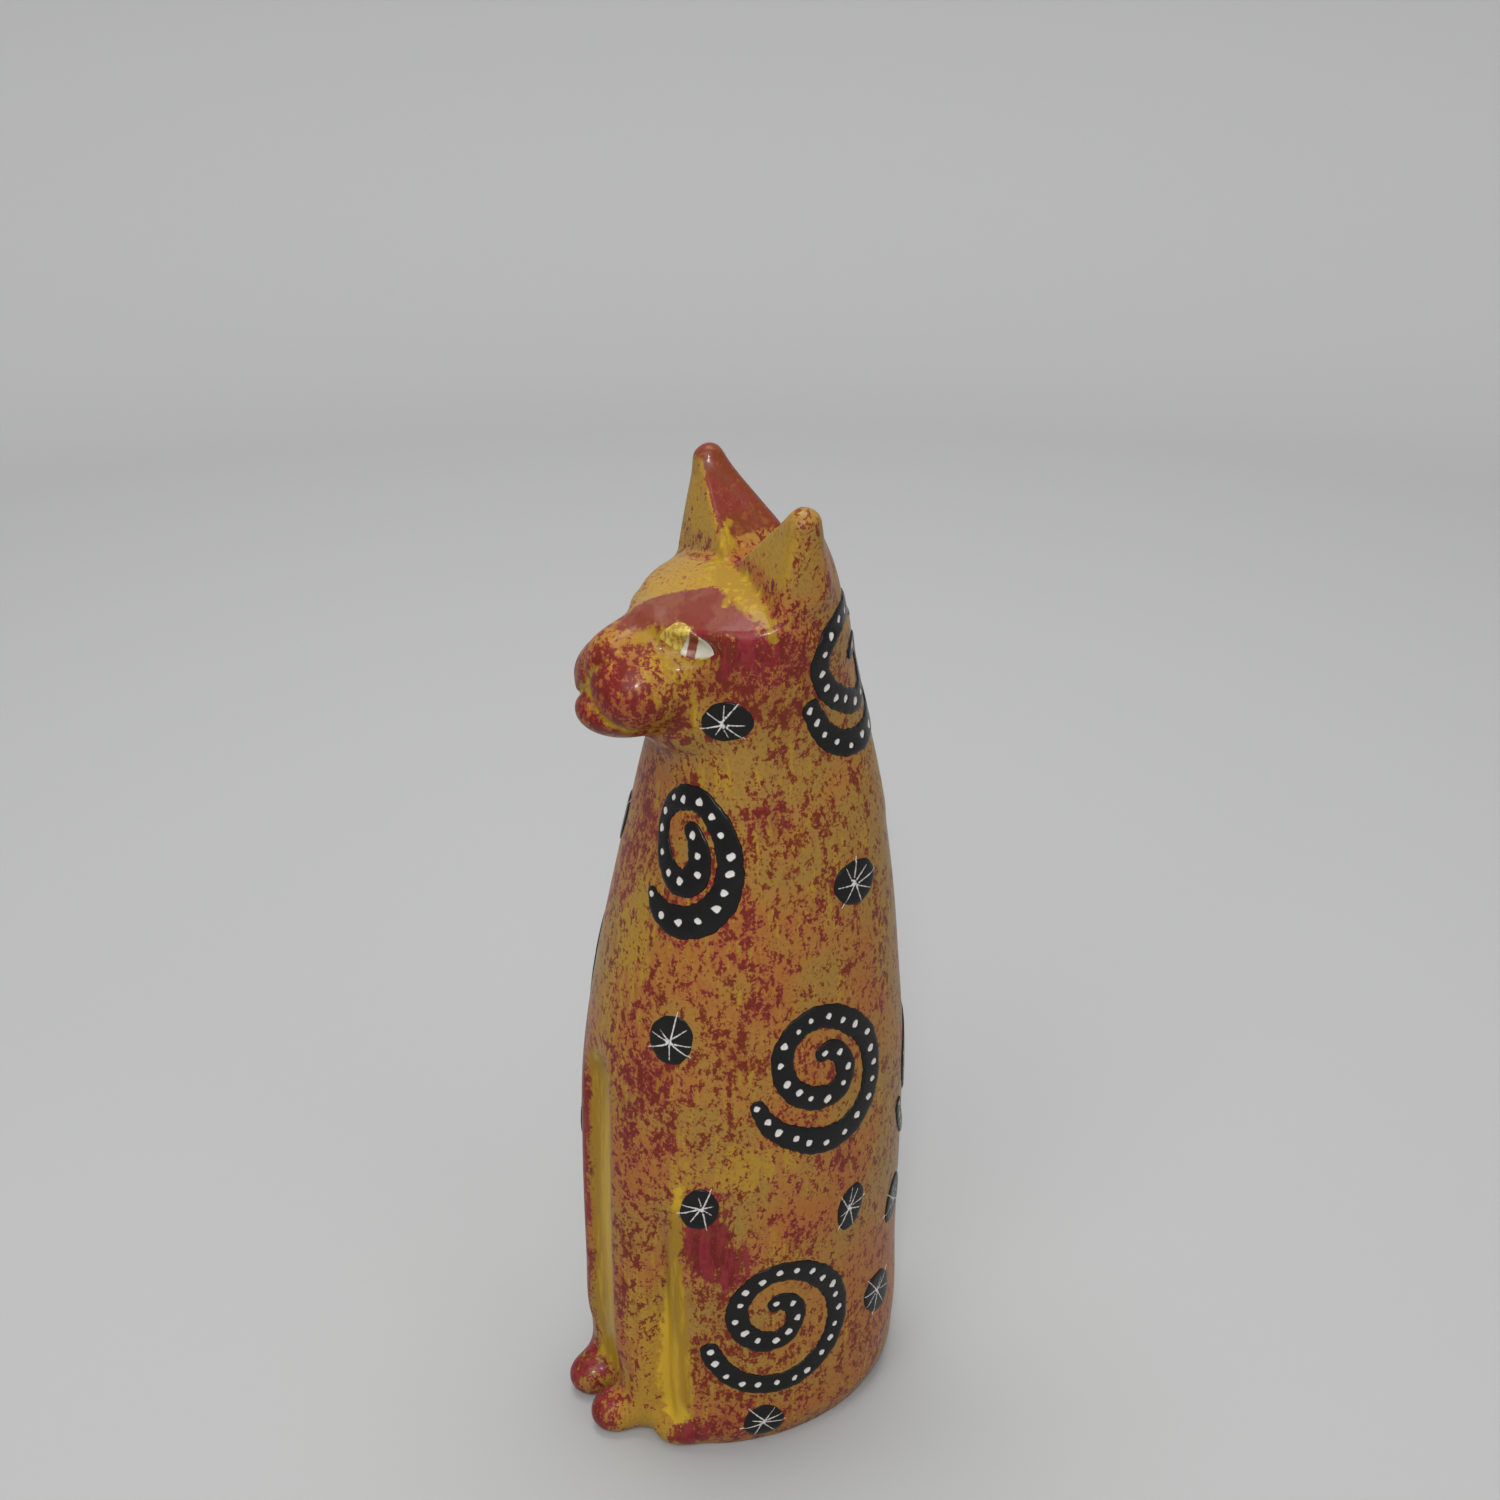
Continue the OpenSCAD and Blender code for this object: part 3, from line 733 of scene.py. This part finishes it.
# Yellow strokes seen from above, where the ears meet and out along the crease: x and y
CROWN_STROKES = [
    ((-3.4, 1.6), (-2, -1.2), 1.1, 1.5), ((-2, -1.6), (4, -1.9), 1.5, 1.9),
    ((4, -1.9), (10.4, -2), 1.9, 1.5), ((10.4, -2), (16.6, -1.5), 1.5, 0.5),
    ((2, -3), (0.2, -5.2), 0.8, 0.3), ((7, -3), (8.4, -4.9), 0.7, 0.3),
    ((-3, 0), (-6, 3), 0.9, 0.4), ((1, 0), (3.4, 2.2), 0.8, 0.3),
]
# Yellow in the grooves: height and half width (mm) on the left, then on the right
LEFT_GROOVE = ([4.5, 6, 12, 24, 38, 50, 54], [-1.0, 2.0, 3.0, 2.4, 1.2, 0.6, -1.0])
RIGHT_GROOVE = ([0, 10, 20, 42, 46, 47], [3.2, 3.2, 2.7, 2.3, 1.4, -1.0])
# What a place that has no such paint reads: well outside the stroke
NONE_HERE = -5.0
# Millimetres round the body for each degree, about, on the head and lower down
MM_PER_DEGREE = 0.33
MM_PER_DEGREE_LOW = 0.36


def across_from(a, centre):
    """How far round from the turn centre each point is, in mm."""
    return (np.mod(a - centre + 180, 360) - 180) * MM_PER_DEGREE


def patch(a, z, centre, middle, wide, tall):
    """How far inside an oval patch each point is, in mm; negative outside."""
    away = np.hypot(across_from(a, centre) / wide, (z - middle) / tall)
    return (1 - away) * min(wide, tall)


def soft_patches(a, z, patches):
    """The sum of soft oval patches: 0 far from all, the patch's amount at its middle."""
    total = np.zeros_like(a)
    for centre, middle, wide, tall, amount in patches:
        away = (across_from(a, centre) / wide)**2 + ((z - middle) / tall)**2
        total += amount * np.exp(-away)
    return total


def strokes_at(p, q, strokes):
    """How far inside the nearest brush stroke each point is, in mm; p and q place it."""
    best = np.full_like(p, NONE_HERE)
    for start, end, r0, r1 in strokes:
        stroke = -rod(p, q, np.zeros_like(p), (*start, 0), (*end, 0), r0, r1)
        best = np.maximum(best, stroke)
    return best


def gold_layer(x, y, z, a, s):
    """How far inside the yellow paint each point is, in mm; negative outside."""
    centre = np.minimum.reduce([4.5 - x, x + 3.9, 64.5 - z, z - 6.5])
    centre = np.where(y < -8, centre, NONE_HERE)
    left_middle = np.interp(z, [0, 10, 30, 52], [40, 39, 40, 44])
    left = np.interp(z, *LEFT_GROOVE) - np.abs(a - left_middle) * MM_PER_DEGREE_LOW
    left = np.where(x > 0, left, NONE_HERE)
    right_middle = np.interp(z, [0, 46], [35, 32])
    right = np.interp(z, *RIGHT_GROOVE) - np.abs(-a - right_middle) * MM_PER_DEGREE_LOW
    right = np.minimum(np.where(x < 0, right, NONE_HERE), z - 6)
    on_face = np.where((z > 117) & (y < -4), strokes_at(s, z, FACE_STROKES), NONE_HERE)
    on_top = np.where((z > 132) & (y > -12), strokes_at(x, y, CROWN_STROKES), NONE_HERE)
    gold = np.maximum.reduce([centre, left, right, on_face, on_top])
    for start, end, _ in MOUTH_LINES:
        half = 0.25 if end[1] > start[1] else 0.62
        line = half - mouth_distance(np.abs(x), z, start, end)
        gold = np.maximum(gold, np.where(y < -13, line, NONE_HERE))
    return gold


def paint_layers(points):
    """What each paint does at each point of the stone, and where the yellow is painted lighter as
    painted light.
    """
    x, y, z = points.T
    a = np.degrees(np.arctan2(x, -y))
    s = 0.55 * np.abs(x) + 0.834 * y
    # how much each point faces up, and the way of an ear's inner and front faces
    normal = normals_at(points)
    mirrored = np.stack([np.sign(x) * normal[:, 0], normal[:, 1], normal[:, 2]], 1)
    ear = below(-z, -139.5, 0.5)
    inward = np.clip(mirrored @ EAR_INNER * 2.2 - 1.0, -1, 1)
    forward = np.clip(mirrored @ EAR_FRONT * 2.2 - 1.0, -1, 1)
    up = np.clip(normal[:, 2] * 4.0 - 1.9, -1.5, 1.5)
    ear_front = ear * np.clip(forward, 0, 1)
    # the top of the head: pink in front of a line that runs from brow to crown, yellow behind
    edge = -1.3 + 5.9 * np.clip((y + 12.5) / 8.6, 0, 1)**2
    forehead = np.minimum.reduce([-3.3 - y, z - 131.0, x - edge, up])
    on_top = np.clip(forehead + 0.5, 0, 1)
    band = np.clip(np.minimum.reduce([-2.4 - y, z - 133.2, edge - x]) + 0.5, 0, 1)
    # hard-edged paints, each as a distance inside its edge
    crimson = np.maximum.reduce([patch(a, z, *row) for row in CRIMSON_PATCHES])
    crimson = np.maximum(crimson, NONE_HERE)
    on_leg = (y < 0) & (z < 66) & (z > 7)
    crimson = np.minimum(crimson, np.where(on_leg, np.abs(x) - 4.0, -NONE_HERE))
    crimson = np.where(z > 124, np.minimum(crimson, -up + 0.6), crimson)
    rust = np.where(x < 0, np.minimum(inward - 0.3, z - 139.5), NONE_HERE)
    rust = np.maximum(rust, np.where((x < 0) & (z > 147.4), z - 148.2, NONE_HERE))
    # soft paints: how dense the sponging is, and the tones of the ground
    by_eye = (y < -4) * np.exp(-((s + 6.4) / 3.0)**4 - ((z - 126.6) / 3.2)**4)
    under_eye = (y < -4) * np.exp(-((s + 6.4) / 3.2)**4 - ((z - 126.6) / 3.4)**4)
    sponge = 0.10 + 0.62 * soft_patches(a, z, SPONGE_PATCHES) - 0.25 * by_eye
    sponge = sponge - 0.6 * on_top - 1.1 * band - 1.5 * ear_front - 0.1 * ear
    wash = soft_patches(a, z, WASH_PATCHES) * (z < 120) + 1.2 * under_eye
    # painted light: where the yellow is made lighter low down, to lift the shade in the grooves
    painted_light_low = wash * below(z, 66, 2.0)
    wash = wash + 1.2 * band + 1.2 * ear_front * below(z, 146, 2.0)
    return {
        "gold": gold_layer(x, y, z, a, s),
        "crimson": crimson,
        "rust": rust,
        "pink": np.clip(forehead, NONE_HERE, 2),
        "sponge": sponge,
        "warm": 0.35 + soft_patches(a, z, WARM_PATCHES) - 0.8 * ear_front,
        "wash": wash,
        "rosy": soft_patches(a, z, ROSY_PATCHES),
        "painted_light_low": painted_light_low,
    }


# ---- materials

class Nodes:
    """A small helper for building a node material."""

    def __init__(self, name):
        material = bpy.data.materials.new(name)
        material.use_nodes = True
        self.tree = material.node_tree
        self.shader = self.tree.nodes["Principled BSDF"]

    def link(self, value, socket):
        """Feeds a socket from another node, or sets it to a fixed value."""
        if isinstance(value, (int, float, tuple)):
            socket.default_value = value
        else:
            self.tree.links.new(value, socket)

    def set(self, socket, value):
        self.link(value, self.shader.inputs[socket])

    def node(self, kind, **inputs):
        node = self.tree.nodes.new("ShaderNode" + kind)
        for name, value in inputs.items():
            self.link(value, node.inputs[name])
        return node

    def attribute(self, name):
        node = self.node("Attribute")
        node.attribute_name = name
        return node.outputs["Fac"]

    def noise(self, size, detail=3.0, rough=0.55, distort=0.0, scale=(1, 1, 1)):
        """Noise from 0 to 1 with features about size mm across."""
        place = self.node("TexCoord").outputs["Object"]
        place = self.node("Mapping", Vector=place, Scale=scale).outputs["Vector"]
        node = self.node("TexNoise", Vector=place, Scale=1000 / size, Detail=detail,
                         Roughness=rough, Distortion=distort)
        return node.outputs["Fac"]

    def math(self, kind, a, b):
        node = self.node("Math")
        node.operation = kind
        self.link(a, node.inputs[0])
        self.link(b, node.inputs[1])
        return node.outputs[0]

    def add(self, a, b):
        return self.math("ADD", a, b)

    def times(self, a, b):
        return self.math("MULTIPLY", a, b)

    def centred(self, value, share):
        """Turns noise round 0.5 into an even push either way."""
        return self.times(self.math("SUBTRACT", value, 0.5), share)

    def step(self, value, low, high):
        """0 under low, 1 over high, smooth between."""
        node = self.node("MapRange", **{"Value": value, "From Min": low, "From Max": high})
        node.interpolation_type = "SMOOTHSTEP"
        return node.outputs["Result"]

    def mix(self, fac, a, b):
        node = self.node("Mix")
        node.data_type = "RGBA"
        self.link(fac, node.inputs["Factor"])
        self.link((*a, 1) if isinstance(a, tuple) else a, node.inputs[6])
        self.link((*b, 1) if isinstance(b, tuple) else b, node.inputs[7])
        return node.outputs[2]

    def bump(self, height, depth):
        node = self.node("Bump", Height=height, Distance=depth * MM, Strength=1.0)
        self.set("Normal", node.outputs["Normal"])


OCHRE = (0.315, 0.150, 0.030)
OLIVE = (0.285, 0.162, 0.033)
ORANGE = (0.325, 0.120, 0.026)
YELLOW = (0.350, 0.205, 0.022)
GOLD = (0.385, 0.242, 0.014)
DARK_GOLD = (0.285, 0.160, 0.013)
CRIMSON = (0.200, 0.012, 0.026)
MAROON = (0.120, 0.008, 0.008)
RED_BROWN = (0.180, 0.026, 0.010)
# a lighter copy of GOLD: painted light for the shaded grooves
PAINTED_LIGHT_GOLD = (0.560, 0.350, 0.024)
PINK = (0.160, 0.028, 0.020)
PALE_PINK = (0.185, 0.053, 0.034)
RUST = (0.140, 0.023, 0.010)
ROSE = (0.165, 0.021, 0.019)


def dyed_ground(n, tiny, wide, wash):
    """Ochre to orange or olive in broad clouds, with a streaky yellow wash."""
    warm = n.add(n.attribute("warm"), n.centred(wide, 5.0))
    ground = n.mix(n.step(warm, 0.0, 0.45), OLIVE, OCHRE)
    ground = n.mix(n.step(warm, 0.35, 1.1), ground, ORANGE)
    ground = n.mix(n.times(wash, 0.85), ground, YELLOW)
    return n.mix(n.times(n.step(tiny, 0.48, 0.62), 0.28), ground, RED_BROWN)


def sponged(n, ground, fine, tiny, blotch, wide, wash):
    """A thin red haze, then the sponged specks over it, in two tones."""
    dense = n.add(n.attribute("sponge"), n.centred(blotch, 5.0))
    dense = n.math("SUBTRACT", dense, n.times(wash, 0.35))
    haze = n.times(n.step(dense, 0.25, 1.35), 0.45)
    ground = n.mix(haze, ground, RED_BROWN)
    level = n.add(n.add(fine, n.times(dense, 0.072)), n.centred(tiny, 0.55))
    rosy = n.add(n.attribute("rosy"), n.centred(wide, 6.0))
    speck = n.mix(n.step(rosy, 0.15, 0.75), RED_BROWN, CRIMSON)
    speck = n.mix(n.step(level, 0.565, 0.64), speck, MAROON)
    return n.mix(n.times(n.step(level, 0.522, 0.568), 0.90), ground, speck)


def rubbed_pink(n, under, fine, blotch, jitter):
    """The rubbed wash on the forehead."""
    pink = n.step(n.add(n.attribute("pink"), jitter), -0.2, 0.5)
    colour = n.mix(n.step(blotch, 0.46, 0.60), PINK, PALE_PINK)
    colour = n.mix(n.times(n.step(fine, 0.50, 0.66), 0.45), colour, ROSE)
    return n.mix(n.times(pink, 0.94), under, colour)


def rubbed_rust(n, under, fine, blotch, jitter):
    """The rubbed wash inside the right ear and on its tip."""
    rust = n.step(n.add(n.attribute("rust"), n.times(jitter, 0.6)), -0.25, 0.25)
    colour = n.mix(n.step(blotch, 0.44, 0.60), RUST, ROSE)
    colour = n.mix(n.times(n.step(fine, 0.52, 0.66), 0.35), colour, OCHRE)
    return n.mix(n.times(rust, 0.92), under, colour)


def brushed_crimson(n, under, streak, tiny, jitter, brushed):
    """Solid crimson laid on with upright strokes."""
    crimson = n.add(n.attribute("crimson"), n.add(brushed, jitter))
    crimson = n.step(n.add(crimson, n.centred(tiny, 3.0)), -0.55, 0.65)
    colour = n.mix(n.step(streak, 0.44, 0.58), MAROON, CRIMSON)
    colour = n.mix(n.step(tiny, 0.54, 0.66), colour, RED_BROWN)
    return n.mix(n.times(crimson, 0.90), under, colour)


def brushed_gold(n, under, streak, jitter, brushed):
    """Yellow, laid on last; in the grooves it is painted lighter still, which is painted light."""
    gold = n.add(n.attribute("gold"), n.times(jitter, 0.7))
    gold = n.step(n.add(gold, n.times(brushed, 0.10)), -0.25, 0.40)
    # painted light: in the low grooves the yellow is made lighter; the streaks themselves are brush
    # tone
    painted_light_low = n.step(n.attribute("painted_light_low"), 0.3, 0.9)
    streak_and_painted_light = n.add(streak, n.times(painted_light_low, 0.08))
    colour = n.mix(n.step(streak_and_painted_light, 0.48, 0.68), DARK_GOLD, GOLD)
    colour = n.mix(n.times(painted_light_low, 0.75), colour, PAINTED_LIGHT_GOLD)
    return n.mix(n.times(gold, 0.95), under, colour)


def dyed_stone_material():
    n = Nodes("painted_dyed_stone")
    wide = n.noise(16, 2)
    fine = n.noise(1.25, 5, 0.68, 0.25, (1, 1, 0.7))
    tiny = n.noise(0.5, 3, 0.65, 0.2)
    blotch = n.noise(5.0, 4, 0.62, 0.5, (1, 1, 0.75))
    streak = n.noise(1.1, 3, 0.6, 0.0, (1, 1, 0.14))
    jitter = n.centred(n.noise(1.4, 4, 0.6), 4.0)
    brushed = n.centred(streak, 9.0)
    uneven = n.add(n.centred(streak, 3.5), n.centred(blotch, 1.5))
    wash = n.step(n.add(n.attribute("wash"), uneven), 0.15, 0.75)
    colour = dyed_ground(n, tiny, wide, wash)
    colour = sponged(n, colour, fine, tiny, blotch, wide, wash)
    colour = rubbed_pink(n, colour, fine, blotch, jitter)
    colour = rubbed_rust(n, colour, fine, blotch, jitter)
    colour = brushed_crimson(n, colour, streak, tiny, jitter, brushed)
    colour = brushed_gold(n, colour, streak, jitter, brushed)
    n.set("Base Color", colour)
    n.set("Roughness", n.add(0.30, n.times(wide, 0.14)))
    n.set("Coat Weight", 0.16)
    n.set("Coat Roughness", 0.12)
    n.set("Specular IOR Level", 0.10)
    n.bump(n.add(n.times(fine, 0.35), blotch), 0.12)


def enamel_material():
    n = Nodes("painted_black_enamel")
    rag = n.centred(n.noise(0.5, 3), 0.22)
    white = n.step(n.add(n.attribute("white"), rag), -0.06, 0.06)
    chalk = n.mix(n.noise(0.7, 3), (0.54, 0.50, 0.47), (0.70, 0.67, 0.64))
    black = n.mix(n.noise(3.0, 3), (0.006, 0.006, 0.007), (0.014, 0.013, 0.012))
    n.set("Base Color", n.mix(white, black, chalk))
    n.set("Roughness", n.add(0.26, n.times(white, 0.35)))
    n.set("Specular IOR Level", 0.14)
    n.set("Coat Weight", 0.05)
    n.set("Coat Roughness", 0.12)
    n.bump(n.noise(1.2, 3), 0.04)


def eye_material():
    n = Nodes("painted_bare_stone")
    rag = n.centred(n.noise(0.6, 3), 0.3)
    streak = n.noise(0.5, 3, 0.6, 0.0, (1, 1, 0.3))
    yellow = n.mix(n.step(streak, 0.42, 0.58), (0.30, 0.17, 0.02), (0.50, 0.36, 0.05))
    white = n.step(n.add(n.attribute("white"), rag), -0.05, 0.10)
    chalk = n.mix(n.noise(0.9, 3), (0.42, 0.40, 0.30), (0.58, 0.55, 0.46))
    colour = n.mix(white, yellow, chalk)
    bar = n.step(n.add(n.attribute("bar"), rag), -0.06, 0.10)
    bar_colour = n.mix(n.noise(0.8, 4), MAROON, (0.25, 0.06, 0.02))
    n.set("Base Color", n.mix(bar, colour, bar_colour))
    n.set("Roughness", 0.25)
    n.set("Coat Weight", 0.35)
    n.set("Coat Roughness", 0.12)
    n.bump(streak, 0.04)


# ---- stage and camera

# The wall: where it stands round the figure (degrees from +X), and its measures in mm
WALL_MIDDLE, WALL_HALF, WALL_FADE = 138, 78, 26
WALL_AWAY, WALL_BEND, WALL_RISE, FLOOR_REACH = 750, 200, 1200, 1800


def stage():
    """A grey floor that sweeps up into a wall round the back of the figure."""
    grey = Nodes("stage_grey")
    grey.set("Base Color", (0.395, 0.398, 0.393, 1))
    grey.set("Roughness", 0.8)
    steps, turns = 12, 90
    foot = WALL_AWAY - WALL_BEND
    # radius and height where the wall stands, and radius where the floor runs on instead
    stations = [(foot, 0, foot)]
    for i in range(1, steps + 1):
        bend = math.pi / 2 * i / steps
        out = foot + (FLOOR_REACH - WALL_AWAY) * i / steps
        stations.append((foot + WALL_BEND * math.sin(bend), WALL_BEND * (1 - math.cos(bend)), out))
    stations.append((WALL_AWAY, WALL_RISE, FLOOR_REACH))
    points, faces = [], []
    n = len(stations)
    for turn in range(turns):
        angle = 2 * math.pi * turn / turns
        away = abs((math.degrees(angle) - WALL_MIDDLE + 180) % 360 - 180)
        share = min(max((WALL_HALF + WALL_FADE - away) / WALL_FADE, 0), 1)
        share = share * share * (3 - 2 * share)
        here, there = turn * n, (turn + 1) % turns * n
        for i, (r, z, out) in enumerate(stations):
            r = share * r + (1 - share) * out
            points.append((r * math.cos(angle), r * math.sin(angle), share * z))
            if i > 0:
                faces.append((here + i - 1, here + i, there + i, there + i - 1))
    faces.append(tuple(turn * n for turn in range(turns)))
    obj = make_object("backdrop", np.array(points), faces, "stage_grey")


CAMERA_AZIMUTH = 63.8
CAMERA_ELEVATION = 25.0
CAMERA_DISTANCE = 0.280
CAMERA_LENS = 48.0
# What the camera looks at: a place on the figure's axis, and how far right of it
CAMERA_AIM = (0, -0.001, 0.110)
CAMERA_AIM_RIGHT = 0.0036


def camera():
    a, e = math.radians(CAMERA_AZIMUTH), math.radians(CAMERA_ELEVATION)
    back = np.array((math.sin(a) * math.cos(e), -math.cos(a) * math.cos(e), math.sin(e)))
    right = np.array((math.cos(a), math.sin(a), 0))
    target = right * CAMERA_AIM_RIGHT + np.array(CAMERA_AIM)
    data = bpy.data.cameras.new("camera")
    data.lens = CAMERA_LENS
    data.sensor_width = 36
    data.clip_start = 0.01
    obj = bpy.data.objects.new("camera", data)
    obj.location = target + back * CAMERA_DISTANCE
    obj.rotation_euler = (math.pi / 2 - e, 0, a)
    bpy.context.scene.collection.objects.link(obj)
    bpy.context.scene.camera = obj


# Lights: name, place, aim, size (metres) and power (watts)
LIGHTS = [
    ("key", (0.42, -0.38, 0.66), (0, 0, 0.07), 0.6, 3.1),
    ("sparkle", (0.48, -0.28, 0.52), (0, 0, 0.12), 0.06, 1.3),
    ("fill", (0.75, 0.25, 0.35), (0, 0, 0.07), 0.5, 0.8),
    ("top", (-0.15, 0.10, 0.80), (0, 0, 0.07), 0.5, 0.6),
    ("backdrop", (-0.15, 0.05, 0.85), (-0.60, 0.30, 0.25), 0.5, 4.8),
]


def light(name, place, aim, size, power):
    data = bpy.data.lights.new(name, "AREA")
    data.shape = "SQUARE"
    data.size = size
    data.energy = power
    obj = bpy.data.objects.new(name, data)
    direction = np.array(aim) - np.array(place)
    flat = math.hypot(direction[0], direction[1])
    obj.location = place
    obj.rotation_euler = (
        math.pi / 2 + math.atan2(direction[2], flat), 0,
        math.atan2(-direction[0], direction[1]),
    )
    bpy.context.scene.collection.objects.link(obj)


def lights():
    world = bpy.data.worlds.new("studio")
    world.use_nodes = True
    background = world.node_tree.nodes["Background"]
    background.inputs["Color"].default_value = (0.86, 0.88, 0.9, 1)
    background.inputs["Strength"].default_value = 0.40
    bpy.context.scene.world = world
    for row in LIGHTS:
        light(*row)


def add_piece(name, points, faces, layers, node, slot_name):
    """A visible piece in place of its CAD node, with the paint layers its material reads."""
    obj = make_object(name, points, faces, "painted_" + slot_name)
    for layer, values in layers.items():
        attribute = obj.data.attributes.new(layer, "FLOAT", "POINT")
        attribute.data.foreach_set("value", np.asarray(values, np.float32))
    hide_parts(node)
    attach(obj, "root")


dyed_stone_material()
enamel_material()
eye_material()

stone_points, stone_faces = carve_stone()
add_piece("carved_stone", stone_points, stone_faces, paint_layers(stone_points),
          "stone_figure", "dyed_stone")
for motifs, shape in ((SPIRALS, spiral), (STARS, star)):
    for motif in motifs:
        motif_points, motif_faces, motif_white = shape(motif)
        add_piece("enamel_" + motif, motif_points, motif_faces, {"white": motif_white},
                  motif, "black_enamel")
for eye_name, eye_side in (("left_eye", 1), ("right_eye", -1)):
    eye_points, eye_faces, eye_bar, eye_white = eye(eye_side)
    add_piece("painted_" + eye_name, eye_points, eye_faces,
              {"bar": eye_bar, "white": eye_white}, eye_name, "bare_stone")

stage()
camera()
lights()
bpy.context.scene.view_settings.view_transform = "Standard"
